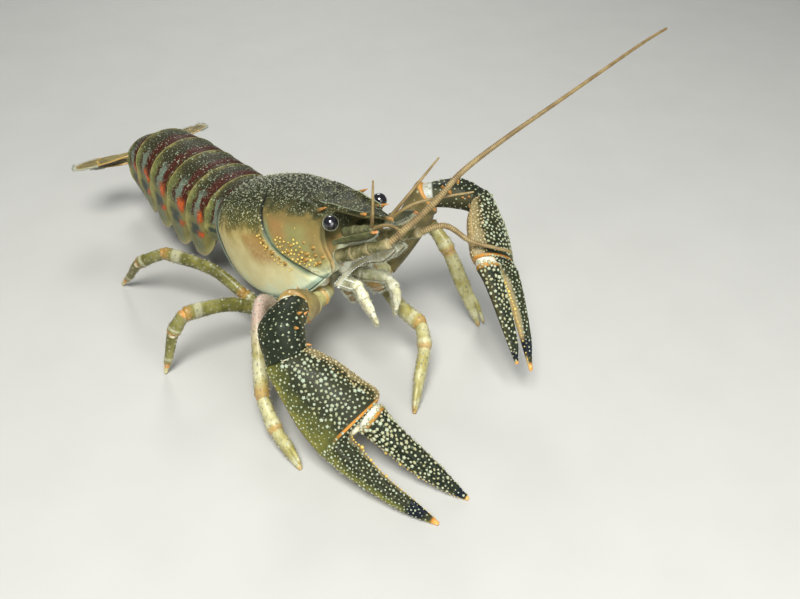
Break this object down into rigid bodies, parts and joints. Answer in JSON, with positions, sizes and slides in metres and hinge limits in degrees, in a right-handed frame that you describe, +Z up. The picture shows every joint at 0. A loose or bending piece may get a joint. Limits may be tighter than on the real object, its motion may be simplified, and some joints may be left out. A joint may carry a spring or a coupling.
{
  "type": "spiny-cheek crayfish model",
  "caption": "Life-size still crayfish on walking legs, spiny cheeks, knobbed claws lowered forward, arched banded tail and long feelers.",
  "frame": {"origin": "middle of the bounding box in plan, at floor height, under the feet", "axes": "+X the way the head points, +Y to the animal's left, +Z up from the floor"},
  "size_m": [0.134, 0.109, 0.0565],
  "materials": {
    "mottled_olive_shell": "hard olive-brown shell, finely speckled with cream, paler at the sides",
    "banded_abdomen_shell": "hard speckled shell with dark red cross bands and orange spots",
    "tubercled_claw_shell": "near-black olive shell covered in raised cream knobs, orange tips",
    "ochre_limb_shell": "ochre and cream shell with grey-green speckles",
    "pale_underside_shell": "pale cream shell",
    "black_eye": "glossy black",
    "brown_feeler": "tan-brown, finely ringed",
    "translucent_tail_fan": "thin horn-like tan plates with pale ribs"
  },
  "bodies": {
    "root": {"thorax_carapace": "mottled_olive_shell", "head_carapace": "mottled_olive_shell", "abdomen_segment_1": "banded_abdomen_shell", "abdomen_segment_2": "banded_abdomen_shell", "abdomen_segment_3": "banded_abdomen_shell", "abdomen_segment_4": "banded_abdomen_shell", "abdomen_segment_5": "banded_abdomen_shell", "abdomen_segment_6": "banded_abdomen_shell", "claw_merus_right": "tubercled_claw_shell", "claw_merus_left": "tubercled_claw_shell", "claw_carpus_right": "tubercled_claw_shell", "claw_carpus_left": "tubercled_claw_shell", "claw_palm_right": "tubercled_claw_shell", "claw_palm_left": "tubercled_claw_shell", "claw_finger_right": "tubercled_claw_shell", "claw_finger_left": "tubercled_claw_shell", "claw_base_right": "ochre_limb_shell", "claw_base_left": "ochre_limb_shell", "antenna_scale_right": "ochre_limb_shell", "antenna_scale_left": "ochre_limb_shell", "leg_2_upper_right": "ochre_limb_shell", "leg_2_upper_left": "ochre_limb_shell", "leg_2_lower_right": "ochre_limb_shell", "leg_2_lower_left": "ochre_limb_shell", "leg_3_upper_right": "ochre_limb_shell", "leg_3_upper_left": "ochre_limb_shell", "leg_3_lower_right": "ochre_limb_shell", "leg_3_lower_left": "ochre_limb_shell", "leg_4_upper_right": "ochre_limb_shell", "leg_4_upper_left": "ochre_limb_shell", "leg_4_lower_right": "ochre_limb_shell", "leg_4_lower_left": "ochre_limb_shell", "leg_5_upper_right": "ochre_limb_shell", "leg_5_upper_left": "ochre_limb_shell", "leg_5_lower_right": "ochre_limb_shell", "leg_5_lower_left": "ochre_limb_shell", "eye_stalk_right": "pale_underside_shell", "eye_stalk_left": "pale_underside_shell", "sternum": "pale_underside_shell", "mouthparts": "pale_underside_shell", "maxilliped_base_right": "pale_underside_shell", "maxilliped_base_left": "pale_underside_shell", "maxilliped_end_right": "pale_underside_shell", "maxilliped_end_left": "pale_underside_shell", "eye_right": "black_eye", "eye_left": "black_eye", "antenna_base_right": "brown_feeler", "antenna_base_left": "brown_feeler", "antenna_near_right": "brown_feeler", "antenna_near_left": "brown_feeler", "antenna_far_right": "brown_feeler", "antenna_far_left": "brown_feeler", "antennule_right": "brown_feeler", "antennule_left": "brown_feeler", "telson": "translucent_tail_fan", "uropod_endopod_right": "translucent_tail_fan", "uropod_endopod_left": "translucent_tail_fan", "uropod_exopod_right": "translucent_tail_fan", "uropod_exopod_left": "translucent_tail_fan"}
  },
  "joints": []
}
